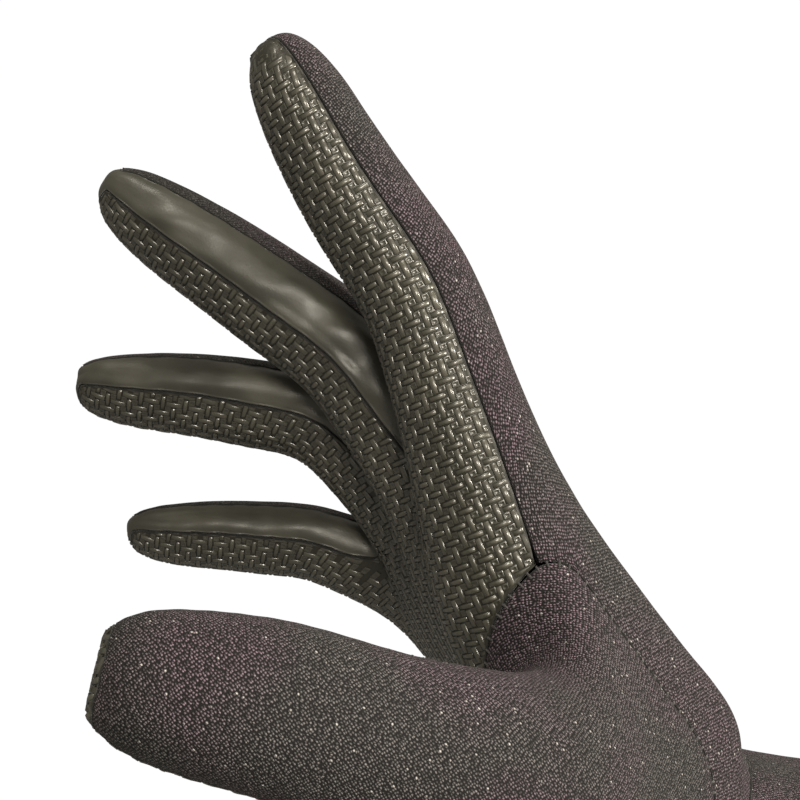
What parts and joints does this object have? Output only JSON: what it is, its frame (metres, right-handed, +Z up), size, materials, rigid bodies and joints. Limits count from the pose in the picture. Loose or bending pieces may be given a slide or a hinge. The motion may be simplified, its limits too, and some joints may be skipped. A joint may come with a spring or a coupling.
{
  "type": "neoprene glove",
  "caption": "Right-hand padded sports glove of foam sheet: knit back, embossed rubber palm and thumb grip, smooth strips between the fingers, open cuff with a bound hem.",
  "frame": {"origin": "centre of the opening that the wrist goes through, at the cuff's mouth", "axes": "+Z up as the glove is held, along the raised forefinger; +X towards the forearm, which leaves at 16 degrees below it; +Y from the thumb's side to the little finger's"},
  "size_m": [0.192, 0.1372, 0.2067],
  "materials": {
    "knit": "dark grey-purple fine knit laminated on foam, matt with a faint sheen and a little lint",
    "embossed_rubber": "greenish-black rubber skin embossed with a small basket weave, satin gloss",
    "smooth_rubber": "greenish-black smooth foam skin with soft long creases, satin",
    "binding": "black stretch tape, matt, with a row of stitches"
  },
  "bodies": {
    "root": {"back_panel": "knit", "palm_panel": "embossed_rubber", "thumb_panel": "knit", "thumb_grip": "embossed_rubber", "side_strip_index_middle": "smooth_rubber", "side_strip_middle_ring": "smooth_rubber", "side_strip_ring_little": "smooth_rubber", "cuff": "knit", "cuff_hem": "binding"}
  },
  "joints": []
}
